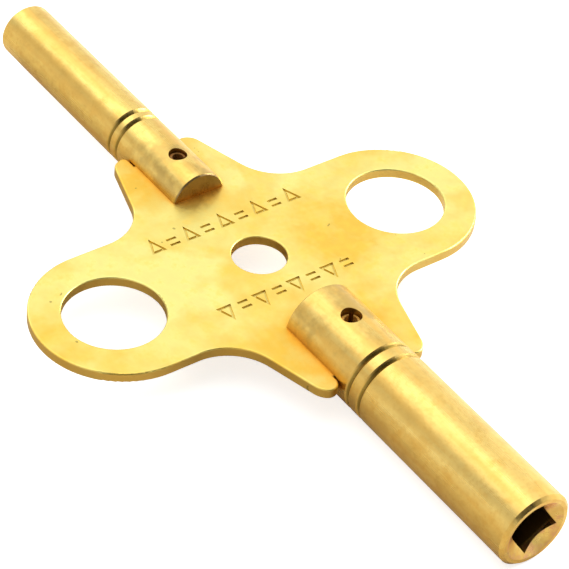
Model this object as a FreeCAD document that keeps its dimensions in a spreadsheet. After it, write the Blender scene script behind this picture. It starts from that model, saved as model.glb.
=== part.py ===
import FreeCAD, Part
import math
import os

import Sketcher

# A double-ended clock winding key. A flat clover-shaped brass handle carries two turned brass
# barrels on one line. Each barrel has a sawn slot that straddles the handle, a slotted spring pin
# through both, and a broached square socket in its far end: 3.50 mm in one, 1.95 mm in the other.
#
# Frame: the origin is the centre of the handle's middle hole, halfway through its thickness.
# +X runs along the barrels towards the large socket, +Y towards one finger loop, +Z out of the
# handle's marked face. All sizes are in millimetres.

SIZES = [
    # handle plate
    ("plate_thickness", 1.0),
    ("loop_radius", 7.75),           # outside of each finger loop
    ("loop_offset", 14.4),          # its centre, from the middle of the key
    ("finger_hole_radius", 4.45),
    ("finger_hole_offset", 14.95),
    ("centre_hole_radius", 2.45),
    ("waist_fillet", 4.8),          # where an ear runs into the waist
    ("edge_round", 0.15),           # tumbled edges of the plate
    # stamped marks: open triangles with a pair of dashes between each two
    ("mark_depth", 0.14),
    ("mark_height", 1.9),
    ("mark_width", 1.5),
    ("mark_inner_ratio", 0.52),      # the triangle's inside over its outside
    ("mark_pitch", 3.6),            # from one triangle to the next
    ("dash_length", 1.0),
    ("dash_stroke", 0.27),
    ("dash_gap", 0.7),
    # large end
    ("large_ear_root", 10.1),      # half width of the ears' flanks, on the middle line of the key
    ("large_ear_tip", 5.25),         # half width where they end
    ("large_ear_reach", 17.1),
    ("large_ear_round", 1.9),       # outer corner of each ear
    ("large_ear_inner_round", 0.9),
    ("large_notch_bottom", 15.6),
    ("large_radius", 3.5),
    ("large_inner_end", 8.7),
    ("large_mouth", 37.5),
    ("large_slot_bottom", 15.7),
    ("large_groove", 17.4),         # first of the two turned grooves
    ("large_groove_pitch", 1.5),
    ("large_pin", 12.8),
    ("large_pin_radius", 0.93),
    ("large_pin_length", 5.8),
    ("large_pin_turn", 141.0),      # the way the pin's slit faces, in degrees from the barrel's axis
    ("large_square", 3.5),          # across flats
    ("large_square_depth", 12.0),
    ("large_square_turn", 33.0),
    ("large_drill_depth", 15.0),
    ("large_countersink", 2.85),    # radius at the mouth
    ("large_mark_column", 4.6),     # where the row of marks beside this barrel stands
    ("large_mark_first", -6.6),
    ("large_triangles", 4),
    ("large_dash_pairs", 4),
    # small end
    ("small_ear_root", 9.3),
    ("small_ear_tip", 4.2),
    ("small_ear_reach", 17.0),
    ("small_ear_round", 1.4),
    ("small_ear_inner_round", 0.5),
    ("small_notch_bottom", 15.6),
    ("small_radius", 2.7),
    ("small_inner_end", 9.35),
    ("small_mouth", 38.75),
    ("small_slot_bottom", 15.7),
    ("small_groove", 18.8),
    ("small_groove_pitch", 1.15),
    ("small_pin", 12.9),
    ("small_pin_radius", 0.85),
    ("small_pin_length", 4.6),
    ("small_pin_turn", 40.0),
    ("small_square", 1.95),
    ("small_square_depth", 9.0),
    ("small_square_turn", 12.0),
    ("small_drill_depth", 11.0),
    ("small_countersink", 1.6),
    ("small_mark_column", 5.2),
    ("small_mark_first", -7.3),
    ("small_triangles", 5),
    ("small_dash_pairs", 4),
    # both barrels
    ("notch_clearance", 0.05),      # between an ear and the side of its barrel
    ("rim_chamfer", 0.3),
    ("inner_chamfer", 0.12),
    ("groove_width", 0.56),
    ("groove_depth", 0.26),
    ("cone_ratio", 0.577),          # depth over radius of a 120 degree drill point
    # slotted spring pins
    ("pin_wall", 0.34),
    ("pin_slit", 0.4),
    ("pin_clearance", 0.01),
    ("pin_chamfer", 0.15),
]

ORIGIN = (-1, 1)        # how a sketch constraint names the sketch's own origin
UPRIGHT_AXIS = (-2,)    # and its own upright axis

doc = FreeCAD.newDocument("clock_key")
sheet = doc.addObject("Spreadsheet::Sheet", "key")
for row, (name, size) in enumerate(SIZES, start=1):
    sheet.set(f"A{row}", name)
    sheet.set(f"B{row}", str(size))
    sheet.setAlias(f"B{row}", name)
doc.recompute()


def value(expression):
    """The number that an expression in the sheet's names stands for."""
    return float(sheet.evalExpression(expression))


def new_body(label):
    body = doc.addObject("PartDesign::Body", label)
    body.Label = label
    return body


def new_sketch(body, name, plane, along=None, across=None, out=None, turn=None):
    """A sketch on one of the body's origin planes, moved within and off that plane."""
    sketch = body.newObject("Sketcher::SketchObject", name)
    support = next(f for f in body.Origin.OriginFeatures if f.Role == plane)
    sketch.AttachmentSupport = [(support, "")]
    sketch.MapMode = "FlatFace"
    moves = (("Base.x", along), ("Base.y", across), ("Base.z", out), ("Rotation.Angle", turn))
    sketch.AttachmentOffset = FreeCAD.Placement(
        FreeCAD.Vector(0, 0, 0), FreeCAD.Rotation(FreeCAD.Vector(0, 0, 1), 1 if turn else 0))
    for part_of_offset, expression in moves:
        if expression:
            sketch.setExpression("AttachmentOffset." + part_of_offset, expression)
    return sketch


def bind(sketch, kind, *where, size):
    """Adds a dimension whose value is an expression in the sheet's names."""
    index = sketch.addConstraint(Sketcher.Constraint(kind, *where, value(size)))
    sketch.setExpression(f"Constraints[{index}]", size)


def outline(sketch, *corners):
    """Closes a polygon through its corners, each an (x, y) pair of expressions."""
    first = sketch.GeometryCount
    points = [FreeCAD.Vector(value(x), value(y), 0) for x, y in corners]
    for start, end in zip(points, points[1:] + points[:1]):
        sketch.addGeometry(Part.LineSegment(start, end))
    last = sketch.GeometryCount - 1
    for side in range(first, last + 1):
        following = first if side == last else side + 1
        sketch.addConstraint(Sketcher.Constraint("Coincident", side, 2, following, 1))
    for side, (x, y) in enumerate(corners, start=first):
        bind(sketch, "DistanceX", *ORIGIN, side, 1, size=x)
        bind(sketch, "DistanceY", *ORIGIN, side, 1, size=y)


def circle(sketch, x, y, radius):
    centre = FreeCAD.Vector(value(x), value(y), 0)
    index = sketch.addGeometry(Part.Circle(centre, FreeCAD.Vector(0, 0, 1), value(radius)))
    bind(sketch, "DistanceX", *ORIGIN, index, 3, size=x)
    bind(sketch, "DistanceY", *ORIGIN, index, 3, size=y)
    bind(sketch, "Radius", index, size=radius)


def volume(body):
    return body.Shape.Volume if body.Tip else 0.0


def finish(body, feature, before):
    """Recomputes after a new feature and makes sure that it changed the body."""
    body.Tip = feature
    doc.recompute()
    if abs(volume(body) - before) < 1e-6:
        raise RuntimeError(f"{feature.Label} changed nothing on {body.Label}")
    return feature


def pad(body, name, sketch, thickness):
    """Adds the sketch's shape, half its thickness to each side of the sketch."""
    before = volume(body)
    feature = body.newObject("PartDesign::Pad", name)
    feature.Profile = sketch
    feature.Midplane = True
    feature.setExpression("Length", thickness)
    return finish(body, feature, before)


def pocket(body, name, sketch, depth=None):
    """Cuts the sketch's shape to a depth behind the sketch, or right through both ways."""
    before = volume(body)
    feature = body.newObject("PartDesign::Pocket", name)
    feature.Profile = sketch
    if depth:
        feature.setExpression("Length", depth)
    else:
        feature.Type = "ThroughAll"
        feature.Midplane = True
    return finish(body, feature, before)


def turned(body, kind, name, sketch):
    """Turns a sketch about the body's X axis, to add (Revolution) or to cut (Groove)."""
    before = volume(body)
    feature = body.newObject("PartDesign::" + kind, name)
    feature.Profile = sketch
    feature.ReferenceAxis = (next(f for f in body.Origin.OriginFeatures if f.Role == "X_Axis"), [""])
    feature.Angle = 360.0
    return finish(body, feature, before)


def repeat(body, name, original, axis, pitch, count):
    """Repeats a cut along one of the body's axes."""
    before = volume(body)
    feature = body.newObject("PartDesign::LinearPattern", name)
    feature.Originals = [original]
    feature.Direction = (next(f for f in body.Origin.OriginFeatures if f.Role == axis), [""])
    feature.setExpression("Length", f"({pitch}) * ({count} - 1)")
    feature.setExpression("Occurrences", count)
    return finish(body, feature, before)


def dressed(body, kind, name, size, keep):
    """Rounds (Fillet) or bevels (Chamfer) the edges that keep() picks."""
    before = volume(body)
    base = body.Tip
    names = [f"Edge{i}" for i, edge in enumerate(base.Shape.Edges, start=1) if keep(edge)]
    feature = body.newObject("PartDesign::" + kind, name)
    feature.Base = (base, names)
    feature.setExpression("Radius" if kind == "Fillet" else "Size", size)
    return finish(body, feature, before)


def upright_at(x, y):
    """Picks the plate's upright edges at (x, y) and at its mirror image across the X axis."""
    def keep(edge):
        low, high = edge.BoundBox.ZMin, edge.BoundBox.ZMax
        place = edge.CenterOfMass
        upright = abs(high - low - value("key.plate_thickness")) < 1e-6
        return upright and abs(place.x - x) < 0.01 and abs(abs(place.y) - y) < 0.01
    return keep


def face_edge(edge):
    """Picks the edges that lie in either flat face of the plate."""
    level = value("key.plate_thickness / 2")
    box = edge.BoundBox
    return box.ZMax - box.ZMin < 1e-6 and abs(abs(box.ZMax) - level) < 1e-6


def loops_sketch(body):
    """The waist and both finger loops as one long round-ended outline."""
    sketch = new_sketch(body, "loops", "XY_Plane")
    radius, offset = value("key.loop_radius"), value("key.loop_offset")
    up = FreeCAD.Vector(0, 0, 1)
    for sign, start in ((1, 0), (-1, math.pi)):
        ring = Part.Circle(FreeCAD.Vector(0, sign * offset, 0), up, radius)
        sketch.addGeometry(Part.ArcOfCircle(ring, start, start + math.pi))
    for sign in (1, -1):
        top, foot = (FreeCAD.Vector(sign * radius, y, 0) for y in (offset, -offset))
        sketch.addGeometry(Part.LineSegment(top, foot))
    upper, lower, right, left = range(4)
    for arc, arc_end, line, line_end in ((upper, 1, right, 1), (upper, 2, left, 1),
                                         (lower, 2, right, 2), (lower, 1, left, 2)):
        sketch.addConstraint(Sketcher.Constraint("Tangent", arc, arc_end, line, line_end))
    sketch.addConstraint(Sketcher.Constraint("Equal", upper, lower))
    sketch.addConstraint(Sketcher.Constraint("PointOnObject", upper, 3, *UPRIGHT_AXIS))
    sketch.addConstraint(Sketcher.Constraint("Symmetric", upper, 3, lower, 3, *ORIGIN))
    bind(sketch, "Radius", upper, size="key.loop_radius")
    bind(sketch, "DistanceY", *ORIGIN, upper, 3, size="key.loop_offset")
    return sketch


def add_ears(plate, end, side):
    """The tapering pair of ears at one end of the plate, parted by the notch for the barrel."""
    reach = f"{side} * key.{end}_ear_reach"
    root, tip = f"key.{end}_ear_root", f"key.{end}_ear_tip"
    sketch = new_sketch(plate, f"{end}_ears", "XY_Plane")
    outline(sketch, ("0", root), (reach, tip), (reach, f"-{tip}"), ("0", f"-{root}"))
    pad(plate, f"{end}_ears_pad", sketch, "key.plate_thickness")

    waist = value("key.loop_radius")
    slope = value(f"({root} - {tip}) / key.{end}_ear_reach")
    crossing = value(root) - slope * waist
    dressed(plate, "Fillet", f"{end}_waist_fillet", "key.waist_fillet", upright_at(side * waist, crossing))

    bottom = f"{side} * key.{end}_notch_bottom"
    half = f"key.{end}_radius + key.notch_clearance"
    past = f"{side} * (key.{end}_ear_reach + key.plate_thickness)"
    notch = new_sketch(plate, f"{end}_notch", "XY_Plane")
    outline(notch, (bottom, half), (past, half), (past, f"-({half})"), (bottom, f"-({half})"))
    pocket(plate, f"{end}_notch_cut", notch)
    tip_x = value(reach)
    dressed(plate, "Fillet", f"{end}_ear_fillet", f"key.{end}_ear_round", upright_at(tip_x, value(tip)))
    dressed(plate, "Fillet", f"{end}_ear_inner_fillet", f"key.{end}_ear_inner_round",
            upright_at(tip_x, value(half)))


def add_marks(plate, end, side):
    """A row of stamped marks across the plate: open triangles with a pair of dashes between."""
    column, first = f"{side} * key.{end}_mark_column", f"key.{end}_mark_first"
    face = "key.plate_thickness / 2"

    triangle = new_sketch(plate, f"{end}_triangle", "XY_Plane", column, first, face)
    for shrink in ("1", "key.mark_inner_ratio"):
        apex = f"{side} * {shrink} * key.mark_height * 2 / 3"
        base = f"-{side} * {shrink} * key.mark_height / 3"
        half = f"{shrink} * key.mark_width / 2"
        outline(triangle, (apex, "0"), (base, half), (base, f"-{half}"))
    cut = pocket(plate, f"{end}_triangle_cut", triangle, "key.mark_depth")
    repeat(plate, f"{end}_triangle_row", cut, "Y_Axis", "key.mark_pitch", f"key.{end}_triangles")

    dashes = new_sketch(plate, f"{end}_dashes", "XY_Plane", column, f"{first} + key.mark_pitch / 2", face)
    half = "key.dash_length / 2"
    for middle in ("key.dash_gap / 2", "-key.dash_gap / 2"):
        near, far = f"{middle} - key.dash_stroke / 2", f"{middle} + key.dash_stroke / 2"
        outline(dashes, (near, half), (far, half), (far, f"-{half}"), (near, f"-{half}"))
    cut = pocket(plate, f"{end}_dashes_cut", dashes, "key.mark_depth")
    repeat(plate, f"{end}_dashes_row", cut, "Y_Axis", "key.mark_pitch", f"key.{end}_dash_pairs")


def make_plate():
    plate = new_body("handle_plate")
    pad(plate, "loops_pad", loops_sketch(plate), "key.plate_thickness")
    for end, side in (("large", 1), ("small", -1)):
        add_ears(plate, end, side)

    holes = new_sketch(plate, "holes", "XY_Plane")
    circle(holes, "0", "0", "key.centre_hole_radius")
    for sign in ("", "-"):
        circle(holes, "0", f"{sign}key.finger_hole_offset", "key.finger_hole_radius")
    pocket(plate, "holes_cut", holes)
    dressed(plate, "Fillet", "tumbled_edges", "key.edge_round", face_edge)

    pin_holes = new_sketch(plate, "pin_holes", "XY_Plane")
    circle(pin_holes, "key.large_pin", "0", "key.large_pin_radius")
    circle(pin_holes, "-key.small_pin", "0", "key.small_pin_radius")
    pocket(plate, "pin_holes_cut", pin_holes)
    for end, side in (("large", 1), ("small", -1)):
        add_marks(plate, end, side)
    return plate


def make_barrel(end):
    """One barrel, lying along its own +X with the middle of the key at its origin."""
    barrel = new_body(f"{end}_barrel")
    radius, mouth, inner = (f"key.{end}_{size}" for size in ("radius", "mouth", "inner_end"))

    blank = new_sketch(barrel, f"{end}_blank", "XZ_Plane")
    outline(blank, (inner, "0"), (inner, f"{radius} - key.inner_chamfer"),
            (f"{inner} + key.inner_chamfer", radius), (f"{mouth} - key.rim_chamfer", radius),
            (mouth, f"{radius} - key.rim_chamfer"), (mouth, "0"))
    turned(barrel, "Revolution", f"{end}_turning", blank)

    groove = new_sketch(barrel, f"{end}_groove_profile", "XZ_Plane")
    middle, half = f"key.{end}_groove", "key.groove_width / 2"
    outline(groove, (f"{middle} - {half}", radius), (middle, f"{radius} - key.groove_depth"),
            (f"{middle} + {half}", radius), (middle, f"{radius} + key.groove_depth"))
    cut = turned(barrel, "Groove", f"{end}_groove_cut", groove)
    repeat(barrel, f"{end}_groove_pair", cut, "X_Axis", f"key.{end}_groove_pitch", "2")

    drill = new_sketch(barrel, f"{end}_drill_profile", "XZ_Plane")
    pilot = f"key.{end}_square / 2"
    bottom = f"{mouth} - key.{end}_drill_depth"
    sink = f"key.{end}_countersink"
    outline(drill, (mouth, "0"), (mouth, sink), (f"{mouth} - ({sink} - {pilot}) * key.cone_ratio", pilot),
            (bottom, pilot), (f"{bottom} - {pilot} * key.cone_ratio", "0"))
    turned(barrel, "Groove", f"{end}_drilling", drill)

    square = new_sketch(barrel, f"{end}_square_profile", "YZ_Plane", out=mouth,
                        turn=f"key.{end}_square_turn")
    outline(square, (pilot, pilot), (f"-{pilot}", pilot), (f"-{pilot}", f"-{pilot}"), (pilot, f"-{pilot}"))
    pocket(barrel, f"{end}_broaching", square, f"key.{end}_square_depth")

    slot = new_sketch(barrel, f"{end}_slot_profile", "XZ_Plane")
    before, bottom, half = f"{inner} - 1", f"key.{end}_slot_bottom", "key.plate_thickness / 2"
    outline(slot, (before, half), (bottom, half), (bottom, f"-{half}"), (before, f"-{half}"))
    pocket(barrel, f"{end}_slot", slot)

    cross = new_sketch(barrel, f"{end}_cross_profile", "XY_Plane")
    circle(cross, f"key.{end}_pin", "0", f"key.{end}_pin_radius")
    pocket(barrel, f"{end}_cross_hole", cross)
    return barrel


def make_pin(end):
    """A slotted spring pin, standing on its own Z axis with its slit towards +X."""
    pin = new_body(f"{end}_cross_pin")
    outer = f"key.{end}_pin_radius - key.pin_clearance"
    ring = new_sketch(pin, f"{end}_pin_ring", "XY_Plane")
    circle(ring, "0", "0", outer)
    circle(ring, "0", "0", f"{outer} - key.pin_wall")
    pad(pin, f"{end}_pin_tube", ring, f"key.{end}_pin_length")

    def outer_rim(edge):
        return edge.Curve.TypeId == "Part::GeomCircle" and abs(edge.Curve.Radius - value(outer)) < 1e-6
    dressed(pin, "Chamfer", f"{end}_pin_chamfer", "key.pin_chamfer", outer_rim)

    slit = new_sketch(pin, f"{end}_pin_slit", "XY_Plane")
    half, past = "key.pin_slit / 2", f"key.{end}_pin_radius + key.pin_slit"
    outline(slit, ("0", half), (past, half), (past, f"-{half}"), ("0", f"-{half}"))
    pocket(pin, f"{end}_pin_slit_cut", slit)
    return pin


def place(node, x, turn):
    node.Placement = FreeCAD.Placement(
        FreeCAD.Vector(x, 0, 0), FreeCAD.Rotation(FreeCAD.Vector(0, 0, 1), turn))


def make_key():
    plate = make_plate()
    barrels = {end: make_barrel(end) for end in ("large", "small")}
    pins = {end: make_pin(end) for end in ("large", "small")}
    place(barrels["small"], 0, 180)
    place(pins["large"], value("key.large_pin"), value("key.large_pin_turn"))
    place(pins["small"], value("-key.small_pin"), value("key.small_pin_turn"))
    return [plate, *barrels.values(), *pins.values()]


def export(nodes):
    doc.recompute()
    for item in doc.Objects:
        if {"Invalid", "Error"} & set(item.State):
            raise RuntimeError(f"{item.Label} failed: {item.State}")
    os.makedirs("parts", exist_ok=True)
    for node in nodes:
        if node.Shape.isNull() or not node.Shape.isValid() or len(node.Shape.Solids) != 1:
            raise RuntimeError(f"{node.Label} isn't one valid solid")
        node.Shape.exportStep(f"parts/{node.Label}.step")
        print(f"{node.Label}: {node.Shape.Volume:.2f} mm3")


export(make_key())
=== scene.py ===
"""Looks of a double-ended brass clock winding key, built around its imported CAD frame.

The CAD nodes are the visible pieces. This script gives each one its brass, and adds the
floor, the studio light and the camera. Lengths are in metres.
"""
import math

import bpy
from mathutils import Matrix, Vector


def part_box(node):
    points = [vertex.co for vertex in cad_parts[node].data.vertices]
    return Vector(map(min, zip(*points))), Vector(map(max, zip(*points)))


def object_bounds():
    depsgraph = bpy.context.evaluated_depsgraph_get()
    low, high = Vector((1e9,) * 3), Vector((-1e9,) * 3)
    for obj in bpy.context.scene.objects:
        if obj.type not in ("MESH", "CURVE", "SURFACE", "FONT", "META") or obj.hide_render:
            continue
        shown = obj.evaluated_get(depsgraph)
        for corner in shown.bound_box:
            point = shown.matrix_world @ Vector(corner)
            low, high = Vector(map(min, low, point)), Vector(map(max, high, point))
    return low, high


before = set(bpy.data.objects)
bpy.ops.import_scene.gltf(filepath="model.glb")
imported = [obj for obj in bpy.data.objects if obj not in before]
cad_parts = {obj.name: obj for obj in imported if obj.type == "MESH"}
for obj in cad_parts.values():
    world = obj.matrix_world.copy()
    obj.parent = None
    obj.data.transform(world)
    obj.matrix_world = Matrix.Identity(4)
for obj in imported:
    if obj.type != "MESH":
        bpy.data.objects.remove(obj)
CAD_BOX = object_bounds()

MM = 0.001

# Brass, in linear colour.
PLATE_BRASS = (0.95, 0.85, 0.28)
PLATE_WARM = (0.94, 0.61, 0.09)
PAINTED_WALL_SHADE = (0.66, 0.42, 0.10)
BARREL_BRASS = (0.94, 0.67, 0.20)
SMALL_BARREL_BRASS = (0.99, 0.72, 0.21)
BARREL_WARM = (0.86, 0.53, 0.12)
BARREL_GRAIN = (0.74, 0.44, 0.09)
SMUDGE = (0.62, 0.42, 0.12)
INNER_END_SHADE = (0.36, 0.25, 0.12)
MOUTH_BRASS = (0.80, 0.45, 0.19)
PIN_BRASS = (0.72, 0.40, 0.085)
SMALL_PIN_BRASS = (0.32, 0.14, 0.03)
TARNISH_AND_SOCKET_SHADE = (0.10, 0.055, 0.012)
GRIME_AND_GROOVE_SHADE = (0.29, 0.21, 0.045)
MARK_BRASS = (0.80, 0.62, 0.17)
CREVICE_SHADE = (0.58, 0.29, 0.04)
GLOW = (0.94, 0.43, 0.035)
WHITE = (1.0, 1.0, 1.0)

# A NOISE is its scale per metre, detail and roughness. A RAMP is the source's low and high,
# then the results there; a RAMP of two runs from 0 to 1. A CREVICE_FILL is its reach, the
# open share that counts as deep, the one that counts as open air, and its most.

# Plate. An area is its centre x, y and reach in mm, and how warm (+) or pale (-) it is.
PLATE_AREAS = ((0.5, 7.5, 6.5, 0.5), (12.0, -4.8, 5.5, 0.4),
               (12.0, 5.2, 5.0, 0.45), (-13.0, -4.2, 4.0, 0.5),
               (1.0, -20.8, 5.5, 0.4), (0.0, -8.0, 6.0, -0.55),
               (-1.0, 20.5, 5.5, -0.5), (-13.0, 4.2, 4.0, -0.4),
               (-6.0, -12.5, 5.0, -0.3), (-8.0, 6.0, 4.5, -0.3))
AREA_CORE = 0.25
AREA_EDGE_NOISE = (260.0, 3.0, 0.6)
AREA_EDGE_RAMP = (0.3, 0.7, -1.6 * MM, 1.6 * MM)
PATCH_NOISE = (140.0, 4.0, 0.65)
PATCH_RAMP = (0.34, 0.68, 0.12, 0.8)
PLATE_MOTTLE_NOISE = (900.0, 4.0, 0.6)
PLATE_MOTTLE_RAMP = (0.5, 0.75, 0.0, 0.4)
PLATE_ROUGHNESS_RAMP = (0.35, 0.7, 0.34, 0.46)
WALL_SHADE_RAMP = (0.15, 0.5, 0.85, 0.0)
SPECK_NOISE = (1300.0, 1.0, 0.4)
SPECK_RAMP = (0.785, 0.81, 0.0, 0.6)
GLOW_FILL = (4.5 * MM, 0.58, 0.97, 0.8)
PLATE_CREVICE_FILL = (1.0 * MM, 0.45, 0.85, 0.85)
TUMBLE_NOISE = (1600.0, 3.0, 0.6)
TUMBLE_HEIGHT = 0.012 * MM
PLATE_WAVE_NOISE = (260.0, 2.0, 0.5)
PLATE_WAVE_HEIGHT = 0.03 * MM

# Heights on the plate, in mm from its top: the top face, and the floor of a stamped mark.
TOP_FACE = (-0.03, -0.01)
MARK_FLOOR_UPPER = (-0.11, -0.06)
MARK_FLOOR_LOWER = (-0.19, -0.16)
MARK_LEVEL_RAMP = (0.9, 0.98)
MARK_WEAR_NOISE = (700.0, 2.0, 0.5)
MARK_WEAR_RAMP = (0.36, 0.6, 0.45, 0.95)

# Barrels.
STREAK_SCALE = (60.0, 900.0, 900.0)
STREAK_NOISE = (1.0, 3.0, 0.55)
STREAK_RAMP = (0.42, 0.68, 0.0, 0.8)
STREAK_ROUGHNESS_RAMP = (0.35, 0.65, 0.26, 0.38)
SOCKET_ROUGHNESS = 0.4
BARREL_MOTTLE_NOISE = (500.0, 4.0, 0.6)
BARREL_MOTTLE_RAMP = (0.48, 0.66, 0.0, 0.65)
GRAIN_NOISE = (2400.0, 3.0, 0.6)
GRAIN_RAMP = (0.46, 0.68, 0.0, 0.3)
SMUDGE_NOISE = (400.0, 3.0, 0.6)
SMUDGE_RAMP = (0.44, 0.66, 0.0, 0.8)
SMUDGE_REST = 0.25
MOUTH_NOISE = (520.0, 3.0, 0.6)
MOUTH_RAMP = (0.42, 0.56, 0.0, 1.0)
GROOVE_SHADE_NOISE = (500.0, 2.0, 0.5)
GROOVE_SHADE_RAMP = (0.35, 0.6, 0.35, 0.85)
BARREL_CREVICE_FILL = (1.1 * MM, 0.45, 0.85, 0.85)
RING_SCALE = (9000.0, 250.0, 250.0)
RING_NOISE = (1.0, 2.0, 0.5)
RING_HEIGHT = 0.004 * MM
BARREL_PIT_NOISE = (2000.0, 3.0, 0.6)
BARREL_PIT_HEIGHT = 0.014 * MM
BARREL_WAVE_NOISE = (520.0, 2.0, 0.5)
BARREL_WAVE_HEIGHT = 0.02 * MM

# Places along a barrel, in mm past its inner end (over the plate) or its mouth.
SMUDGED_PAST_INNER = (5.5, 9.0)
END_PAST_INNER = (0.03, 0.14)
BODY_PAST_INNER = (0.02, 0.2)
SOCKET_PAST_INNER = (7.0, 8.0)
CONE_PAST_MOUTH = (-1.0, -0.8)
SOCKET_PAST_MOUTH = (-1.0, -0.7)

# Places off a barrel's axis: shares of its radius, and mm past its radius for the painted
# shade in the grooves.
CONE_SHARES = (0.8, 0.84)
SOCKET_SHARES = (0.72, 0.74)
GROOVE_PAST_RADIUS = (-0.16, -0.05)

# Cross pins.
STAIN_NOISE = (1500.0, 4.0, 0.6)
STAIN_RAMP = (0.5, 0.7, 0.0, 0.7)
STAIN_HEIGHT = 0.02 * MM
PIN_ROUGHNESS = 0.45
LARGE_PIN_METALLIC = 0.6
SMALL_PIN_METALLIC = 0.5

# Camera: turned from -Y towards +X, above the horizon, and tilted about its line of sight.
# The clipping distances are in camera distances.
CAMERA_AZIMUTH = 49.70
CAMERA_ELEVATION = 40.93
CAMERA_ROLL = 6.87
CAMERA_DISTANCE = 215.6 * MM
CAMERA_TARGET = Vector((3.83, -0.03, 0.0)) * MM
CAMERA_LENS = 159.0
CAMERA_CLIPPING = (0.1, 50)

# Studio: strips of light that run parallel to the barrels, by their angle over the key (0 at
# +Y, 90 overhead, 180 at -Y), and a darker side in a fixed direction, about where the camera
# of the photograph stands. The room fades from bright to dim between two angles.
ROOM_FADE = (60.0, 130.0)
ROOM_BRIGHT = 0.93
ROOM_DIM = 0.60
OVERHEAD_STRIP = dict(angle=97.5, core=12.0, edge=39.0, strength=0.9)
LOW_STRIP = dict(angle=171.0, core=4.0, edge=25.0, strength=0.36)
CAMERA_SIDE = Vector((0.75, 0.0, 0.65))
CAMERA_SIDE_EDGE = (0.72, 0.90)
CAMERA_SIDE_SHADE = 0.03
KEY_LIGHT_PLACE = Vector((0.04, 0.40, 0.22))
KEY_LIGHT_SIZE = 0.28
KEY_LIGHT_WATTS = 1.6

# Floor: what the camera sees, and what the brass sees from its -Y side to its +Y side.
FLOOR_HALF_WIDTH = 3.0
FLOOR_PALE = (0.8, 0.8, 0.8)
FLOOR_EMISSION = 0.72
FLOOR_NEAR_SIDE = (0.68, 0.60, 0.47)
FLOOR_FAR_SIDE = (0.98, 0.96, 0.93)
FLOOR_SIDES_MEET = (-4.0 * MM, 16.0 * MM)


# ---------------------------------------------------------------- node helpers

class Nodes:
    """Short ways to add and join shader nodes in one tree."""

    CREVICE_SAMPLES = 8

    def __init__(self, tree):
        self.tree = tree

    def add(self, kind, **settings):
        node = self.tree.nodes.new("ShaderNode" + kind)
        for name, setting in settings.items():
            setattr(node, name, setting)
        return node

    def feed(self, socket, source):
        if isinstance(source, bpy.types.NodeSocket):
            self.tree.links.new(source, socket)
        else:
            socket.default_value = source

    def math(self, operation, *sources, clamp=False):
        node = self.add("Math", operation=operation, use_clamp=clamp)
        for socket, source in zip(node.inputs, sources):
            self.feed(socket, source)
        return node.outputs[0]

    def ramp(self, source, low, high, first=0.0, last=1.0):
        """Goes smoothly from first to last as the source goes from low to high."""
        node = self.add("MapRange", interpolation_type="SMOOTHSTEP")
        for socket, given in zip(node.inputs, (source, low, high, first, last)):
            self.feed(socket, given)
        return node.outputs[0]

    def mix(self, amount, first, second):
        """Mixes two colours; 6, 7 and 2 are the Mix node's colour sockets."""
        node = self.add("Mix", data_type="RGBA", blend_type="MIX")
        self.feed(node.inputs["Factor"], amount)
        self.feed(node.inputs[6], first)
        self.feed(node.inputs[7], second)
        return node.outputs[2]

    def place(self):
        """The point being shaded, in the object's own coordinates."""
        return self.add("TexCoord").outputs["Object"]

    def axes(self, vector):
        """The x, y and z of a vector."""
        node = self.add("SeparateXYZ")
        self.feed(node.inputs[0], vector)
        return node.outputs

    def scaled(self, vector, x, y, z):
        node = self.add("Mapping")
        self.feed(node.inputs["Vector"], vector)
        node.inputs["Scale"].default_value = (x, y, z)
        return node.outputs[0]

    def noise(self, vector, scale, detail, roughness):
        node = self.add("TexNoise")
        for name, given in (("Vector", vector), ("Scale", scale),
                            ("Detail", detail), ("Roughness", roughness)):
            self.feed(node.inputs[name], given)
        return node.outputs["Fac"]

    def crevice(self, reach, deep, open_air, most):
        """Most where other surfaces close in on the point within reach, 0 in the open."""
        node = self.add("AmbientOcclusion", samples=self.CREVICE_SAMPLES)
        node.inputs["Distance"].default_value = reach
        return self.ramp(node.outputs["AO"], deep, open_air, most, 0.0)

    def bump(self, height, distance, below=None):
        node = self.add("Bump")
        self.feed(node.inputs["Height"], height)
        self.feed(node.inputs["Distance"], distance)
        if below is not None:
            self.feed(node.inputs["Normal"], below)
        return node.outputs[0]


def rgb(colour):
    return (*colour, 1.0)


def past(start, offsets):
    """The two places that are these many mm past a start."""
    return [start + offset * MM for offset in offsets]


def new_material(name):
    material = bpy.data.materials.new(name)
    material.use_nodes = True
    nodes = Nodes(material.node_tree)
    shader = material.node_tree.nodes["Principled BSDF"]
    shader.inputs["Metallic"].default_value = 1.0
    return material, nodes, shader


# ---------------------------------------------------------------- materials

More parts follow.
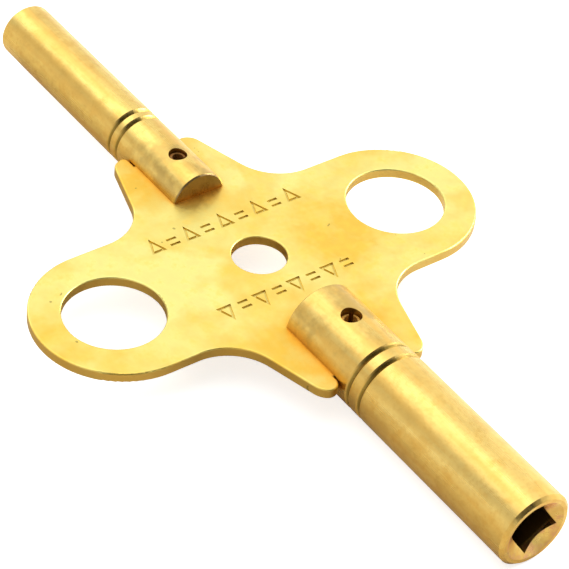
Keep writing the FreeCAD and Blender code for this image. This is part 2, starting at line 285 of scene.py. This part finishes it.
def plate_material():
    """Tumbled sheet brass: warm and pale areas, fine mottling, specks and worn stamped marks,
    with painted shade on the walls and in corners and creases, and painted orange bounce
    light that the barrels throw on the plate beside them.
    """
    material, n, shader = new_material("plate_brass")
    at = n.place()
    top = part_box("handle_plate")[1].z
    depth = n.axes(at)[2]
    warmth = n.ramp(n.noise(at, *PATCH_NOISE), *PATCH_RAMP)
    ragged = n.ramp(n.noise(at, *AREA_EDGE_NOISE), *AREA_EDGE_RAMP)
    for x, y, reach, amount in PLATE_AREAS:
        away = n.add("VectorMath", operation="DISTANCE")
        n.feed(away.inputs[0], at)
        away.inputs[1].default_value = (x * MM, y * MM, top)
        near = n.ramp(n.math("ADD", away.outputs["Value"], ragged),
                      AREA_CORE * reach * MM, reach * MM, amount, 0.0)
        warmth = n.math("ADD", warmth, near, clamp=True)
    mottle = n.noise(at, *PLATE_MOTTLE_NOISE)
    colour = n.mix(warmth, rgb(PLATE_BRASS), rgb(PLATE_WARM))
    colour = n.mix(n.ramp(mottle, *PLATE_MOTTLE_RAMP), colour, rgb(PLATE_WARM))

    facing_up = n.axes(n.add("NewGeometry").outputs["Normal"])[2]
    # Painted shade: walls that face sideways, round the outline and in the holes, are
    # darkened.
    colour = n.mix(n.ramp(n.math("ABSOLUTE", facing_up), *WALL_SHADE_RAMP), colour, rgb(PAINTED_WALL_SHADE))
    face = n.ramp(depth, *past(top, TOP_FACE))
    colour = n.mix(n.math("MULTIPLY", n.crevice(*GLOW_FILL), face), colour, rgb(GLOW))
    # Painted shade: where other surfaces close in, the top face is painted darker brown; in
    # the marks and on the walls the colour goes towards the mark brass.
    colour = n.mix(n.crevice(*PLATE_CREVICE_FILL), colour,
                   n.mix(face, rgb(MARK_BRASS), rgb(CREVICE_SHADE)))

    mark = n.math("MULTIPLY", n.ramp(depth, *past(top, MARK_FLOOR_UPPER), 1.0, 0.0),
                  n.ramp(depth, *past(top, MARK_FLOOR_LOWER)))
    mark = n.math("MULTIPLY", mark, n.ramp(facing_up, *MARK_LEVEL_RAMP))
    colour = n.mix(n.ramp(n.noise(at, *SPECK_NOISE), *SPECK_RAMP), colour, rgb(GRIME_AND_GROOVE_SHADE))
    patchy = n.ramp(n.noise(at, *MARK_WEAR_NOISE), *MARK_WEAR_RAMP)
    colour = n.mix(n.math("MULTIPLY", mark, patchy), colour, rgb(MARK_BRASS))
    n.feed(shader.inputs["Base Color"], colour)
    n.feed(shader.inputs["Roughness"], n.ramp(mottle, *PLATE_ROUGHNESS_RAMP))

    tumble = n.bump(n.noise(at, *TUMBLE_NOISE), TUMBLE_HEIGHT)
    n.feed(shader.inputs["Normal"],
           n.bump(n.noise(at, *PLATE_WAVE_NOISE), PLATE_WAVE_HEIGHT, tumble))
    return material


def barrel_material(name, node, side, brass):
    """Turned bar brass: fine tool rings and smudges, with painted shade in the grooves
    (uneven along them), on the inner end face, in corners and creases, and inside the socket,
    which is painted near black. Side is +1 or -1, the way its mouth faces.
    """
    material, n, shader = new_material(name)
    low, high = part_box(node)
    radius = high.z
    mouth = high.x if side > 0 else -low.x
    inner = low.x if side > 0 else -high.x
    at = n.place()
    x, y, z = n.axes(at)
    along = n.math("MULTIPLY", x, float(side))
    off_axis = n.math("SQRT", n.math("ADD", n.math("POWER", y, 2.0), n.math("POWER", z, 2.0)))

    mottle = n.noise(at, *BARREL_MOTTLE_NOISE)
    streaks = n.noise(n.scaled(at, *STREAK_SCALE), *STREAK_NOISE)
    colour = n.mix(n.ramp(streaks, *STREAK_RAMP), rgb(brass), rgb(BARREL_WARM))
    colour = n.mix(n.ramp(mottle, *BARREL_MOTTLE_RAMP), colour, rgb(BARREL_WARM))
    fine = n.noise(at, *GRAIN_NOISE)
    colour = n.mix(n.ramp(fine, *GRAIN_RAMP), colour, rgb(BARREL_GRAIN))
    smudges = n.math("MULTIPLY", n.ramp(n.noise(at, *SMUDGE_NOISE), *SMUDGE_RAMP),
                     n.ramp(along, *past(inner, SMUDGED_PAST_INNER), 1.0, SMUDGE_REST))
    colour = n.mix(smudges, colour, rgb(SMUDGE))
    # Painted shade: the flat inner end face over the plate is painted a dull, dark brass.
    end = n.ramp(along, *past(inner, END_PAST_INNER), 1.0, 0.0)
    colour = n.mix(end, colour, rgb(INNER_END_SHADE))
    cone_from, cone_to = CONE_SHARES
    cone = n.math("MULTIPLY", n.ramp(along, *past(mouth, CONE_PAST_MOUTH)),
                  n.ramp(off_axis, radius * cone_from, radius * cone_to, 1.0, 0.0))
    cone = n.math("MULTIPLY", cone, n.ramp(n.noise(at, *MOUTH_NOISE), *MOUTH_RAMP))
    colour = n.mix(cone, colour, rgb(MOUTH_BRASS))
    # Painted shade: darker brown where other surfaces close in, such as beside the plate and
    # at the grooves and holes.
    colour = n.mix(n.crevice(*BARREL_CREVICE_FILL), colour, rgb(CREVICE_SHADE))

    # Painted shade: the grooves and other cuts below the turned surface are darkened,
    # unevenly along them.
    groove_shade = n.ramp(off_axis, *past(radius, GROOVE_PAST_RADIUS), 1.0, 0.0)
    body = n.math("MULTIPLY", n.ramp(along, *past(inner, BODY_PAST_INNER)),
                  n.ramp(along, *past(mouth, CONE_PAST_MOUTH), 1.0, 0.0))
    groove_shade = n.math("MULTIPLY", groove_shade, body)
    patchy = n.ramp(n.noise(at, *GROOVE_SHADE_NOISE), *GROOVE_SHADE_RAMP)
    colour = n.mix(n.math("MULTIPLY", groove_shade, patchy), colour, rgb(GRIME_AND_GROOVE_SHADE))
    # Painted shade: the inside of the square socket is painted near black, and made rougher.
    socket_from, socket_to = SOCKET_SHARES
    socket = n.math("MULTIPLY",
                    n.ramp(off_axis, radius * socket_from, radius * socket_to, 1.0, 0.0),
                    n.ramp(along, *past(inner, SOCKET_PAST_INNER)))
    socket = n.math("MULTIPLY", socket,
                    n.ramp(along, *past(mouth, SOCKET_PAST_MOUTH), 1.0, 0.0))
    colour = n.mix(socket, colour, rgb(TARNISH_AND_SOCKET_SHADE))
    n.feed(shader.inputs["Base Color"], colour)
    n.feed(shader.inputs["Roughness"],
           n.math("ADD", n.ramp(streaks, *STREAK_ROUGHNESS_RAMP),
                  n.math("MULTIPLY", socket, SOCKET_ROUGHNESS)))

    rings = n.bump(n.noise(n.scaled(at, *RING_SCALE), *RING_NOISE), RING_HEIGHT)
    pits = n.bump(n.noise(at, *BARREL_PIT_NOISE), BARREL_PIT_HEIGHT, rings)
    n.feed(shader.inputs["Normal"],
           n.bump(n.noise(at, *BARREL_WAVE_NOISE), BARREL_WAVE_HEIGHT, pits))
    return material


def pin_material(name, brass, metallic):
    """Aged spring pin: dark, reddish brass with a coarse surface."""
    material, n, shader = new_material(name)
    stain = n.noise(n.place(), *STAIN_NOISE)
    n.feed(shader.inputs["Base Color"],
           n.mix(n.ramp(stain, *STAIN_RAMP), rgb(brass), rgb(TARNISH_AND_SOCKET_SHADE)))
    shader.inputs["Metallic"].default_value = metallic
    shader.inputs["Roughness"].default_value = PIN_ROUGHNESS
    n.feed(shader.inputs["Normal"], n.bump(stain, STAIN_HEIGHT))
    return material


def dress(node, material):
    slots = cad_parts[node].data.materials
    for index in range(len(slots)):
        slots[index] = material


# ---------------------------------------------------------------- studio

def make_floor():
    """A floor that the camera sees plain and pale, with some emission added. The brass sees
    a dimmer one, warm on its -Y side.
    """
    size = FLOOR_HALF_WIDTH
    level = CAD_BOX[0].z
    mesh = bpy.data.meshes.new("floor")
    corners = [(-size, -size, level), (size, -size, level),
               (size, size, level), (-size, size, level)]
    mesh.from_pydata(corners, [], [(0, 1, 2, 3)])
    floor = bpy.data.objects.new("floor", mesh)
    bpy.context.scene.collection.objects.link(floor)
    material = bpy.data.materials.new("floor")
    material.use_nodes = True
    n = Nodes(material.node_tree)
    material.node_tree.nodes.remove(material.node_tree.nodes["Principled BSDF"])
    seen = n.add("LightPath").outputs["Is Camera Ray"]
    pale = n.add("Emission")
    pale.inputs["Color"].default_value = rgb(WHITE)
    n.feed(pale.inputs["Strength"], n.math("MULTIPLY", seen, FLOOR_EMISSION))
    matt = n.add("BsdfDiffuse")
    across = n.axes(n.place())[1]
    in_brass = n.mix(n.ramp(across, *FLOOR_SIDES_MEET),
                     rgb(FLOOR_NEAR_SIDE), rgb(FLOOR_FAR_SIDE))
    n.feed(matt.inputs["Color"], n.mix(seen, in_brass, rgb(FLOOR_PALE)))
    both = n.add("AddShader")
    n.feed(both.inputs[0], pale.outputs[0])
    n.feed(both.inputs[1], matt.outputs[0])
    n.feed(material.node_tree.nodes["Material Output"].inputs["Surface"], both.outputs[0])
    mesh.materials.append(material)


def make_world():
    """Soft light from long strips beside each other, with one darker side."""
    world = bpy.data.worlds.new("studio")
    bpy.context.scene.world = world
    world.use_nodes = True
    n = Nodes(world.node_tree)
    towards = n.add("TexCoord").outputs["Generated"]
    _, y, z = n.axes(towards)
    angle = n.math("DEGREES", n.math("ARCTAN2", z, y))
    light = n.ramp(angle, *ROOM_FADE, ROOM_BRIGHT, ROOM_DIM)
    for strip in (OVERHEAD_STRIP, LOW_STRIP):
        off = n.math("ABSOLUTE", n.math("SUBTRACT", angle, strip["angle"]))
        light = n.math("ADD", light,
                       n.ramp(off, strip["core"], strip["edge"], strip["strength"], 0.0))
    to_camera = n.add("VectorMath", operation="DOT_PRODUCT")
    n.feed(to_camera.inputs[0], towards)
    to_camera.inputs[1].default_value = CAMERA_SIDE.normalized()
    light = n.math("MULTIPLY", light, n.ramp(to_camera.outputs["Value"], *CAMERA_SIDE_EDGE,
                                             1.0, CAMERA_SIDE_SHADE))
    background = world.node_tree.nodes["Background"]
    n.feed(background.inputs["Strength"], light)
    background.inputs["Color"].default_value = rgb(WHITE)


def make_key_light():
    data = bpy.data.lights.new("key_light", "AREA")
    data.shape = "DISK"
    data.size = KEY_LIGHT_SIZE
    data.energy = KEY_LIGHT_WATTS
    lamp = bpy.data.objects.new("key_light", data)
    bpy.context.scene.collection.objects.link(lamp)
    lamp.location = KEY_LIGHT_PLACE
    lamp.rotation_mode = "QUATERNION"
    lamp.rotation_quaternion = (-lamp.location).to_track_quat("-Z", "Y")


def make_camera():
    azimuth, elevation = math.radians(CAMERA_AZIMUTH), math.radians(CAMERA_ELEVATION)
    back = Vector((math.sin(azimuth) * math.cos(elevation),
                   -math.cos(azimuth) * math.cos(elevation),
                   math.sin(elevation)))
    data = bpy.data.cameras.new("camera")
    data.lens = CAMERA_LENS
    data.clip_start, data.clip_end = [CAMERA_DISTANCE * times for times in CAMERA_CLIPPING]
    camera = bpy.data.objects.new("camera", data)
    bpy.context.scene.collection.objects.link(camera)
    aim = (-back).to_track_quat("-Z", "Y").to_matrix()
    roll = Matrix.Rotation(math.radians(CAMERA_ROLL), 3, "Z")
    place = Matrix.Translation(CAMERA_TARGET + back * CAMERA_DISTANCE)
    camera.matrix_world = place @ (aim @ roll).to_4x4()
    bpy.context.scene.camera = camera


# ---------------------------------------------------------------- the key

dress("handle_plate", plate_material())
dress("large_barrel", barrel_material("large_barrel_brass", "large_barrel", 1, BARREL_BRASS))
dress("small_barrel",
      barrel_material("small_barrel_brass", "small_barrel", -1, SMALL_BARREL_BRASS))
dress("large_cross_pin", pin_material("large_pin_brass", PIN_BRASS, LARGE_PIN_METALLIC))
dress("small_cross_pin", pin_material("small_pin_brass", SMALL_PIN_BRASS, SMALL_PIN_METALLIC))

make_floor()
make_world()
make_key_light()
make_camera()
bpy.context.scene.view_settings.view_transform = "Standard"
